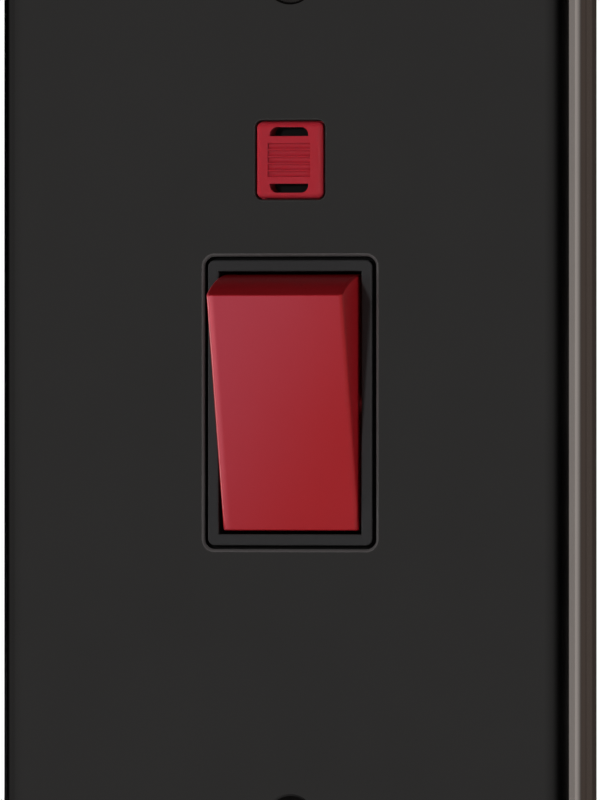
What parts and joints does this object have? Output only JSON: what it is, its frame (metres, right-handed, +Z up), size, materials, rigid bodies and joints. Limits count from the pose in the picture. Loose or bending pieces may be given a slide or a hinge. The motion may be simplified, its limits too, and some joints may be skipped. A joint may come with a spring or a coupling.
{
  "type": "cooker switch",
  "caption": "Double-height dark metal wall plate with a red rocker switch and a red neon lens, with contacts and cable terminals behind it, for a cooker circuit.",
  "frame": {"origin": "centre of the plate's back rim, on the wall plane", "axes": "+X to the right seen from the front, +Y into the wall, +Z up"},
  "size_m": [0.0874, 0.0369, 0.147],
  "materials": {
    "plate": "satin black nickel",
    "insert": "fine matt black",
    "rocker": "satin red moulding",
    "lens": "translucent red",
    "bulb": "clear",
    "resistor": "lacquered",
    "lead": "tinned wire",
    "base": "pale moulded thermoset",
    "nylon": "natural nylon",
    "spring": "spring wire",
    "copper": "copper strip",
    "silver": "silver contact",
    "brass": "machined brass",
    "plated_steel": "zinc plated"
  },
  "bodies": {
    "plate": {"front_plate": "plate", "fixing_screws": "plate", "stud_washers": "plated_steel", "insert_moulding": "insert", "switch_base": "base", "base_screws": "plated_steel", "terminal_screws": "plated_steel", "neon_lens": "lens", "neon_bulb": "bulb", "neon_resistor": "resistor", "neon_link_lead": "lead", "neon_live_lead": "lead", "neon_neutral_lead": "lead", "earth_bracket": "plated_steel", "earth_terminal": "brass", "earth_screw": "plated_steel", "live_supply_bar": "copper", "live_load_bar": "copper", "live_fixed_tip": "silver", "live_supply_terminal": "brass", "live_load_terminal": "brass", "neutral_supply_bar": "copper", "neutral_load_bar": "copper", "neutral_fixed_tip": "silver", "neutral_supply_terminal": "brass", "neutral_load_terminal": "brass"},
    "rocker": {"rocker": "rocker", "left_spring": "spring", "right_spring": "spring"},
    "left_plunger": {"left_plunger": "nylon"},
    "right_plunger": {"right_plunger": "nylon"},
    "live_arm": {"live_arm": "copper", "live_arm_tip": "silver"},
    "neutral_arm": {"neutral_arm": "copper", "neutral_arm_tip": "silver"}
  },
  "joints": [
    {"name": "rocker_hinge", "type": "hinge", "parent": "plate", "child": "rocker", "pos_m": [0, -0.0048, -0.0005], "axis": [1, 0, 0], "range_deg": [-26.8, 0]},
    {"name": "left_plunger_slide", "type": "slide", "parent": "rocker", "child": "left_plunger", "axis": [0, -0.9728, -0.2317], "range_m": [0, 0.001], "stiffness_N_per_m": 500, "springref_m": -0.002, "deforming": ["left_spring"]},
    {"name": "right_plunger_slide", "type": "slide", "parent": "rocker", "child": "right_plunger", "axis": [0, -0.9728, -0.2317], "range_m": [0, 0.001], "stiffness_N_per_m": 500, "springref_m": -0.002, "deforming": ["right_spring"]},
    {"name": "live_arm_hinge", "type": "hinge", "parent": "plate", "child": "live_arm", "pos_m": [-0.00465, 0.0048, -0.0005], "axis": [1, 0, 0], "range_deg": [0, 14]},
    {"name": "neutral_arm_hinge", "type": "hinge", "parent": "plate", "child": "neutral_arm", "pos_m": [0.00465, 0.0048, -0.0005], "axis": [1, 0, 0], "range_deg": [0, 14]}
  ],
  "couplings": [
    {"joint": "live_arm_hinge", "follows": "rocker_hinge", "ratio": -0.52239},
    {"joint": "neutral_arm_hinge", "follows": "rocker_hinge", "ratio": -0.52239}
  ]
}
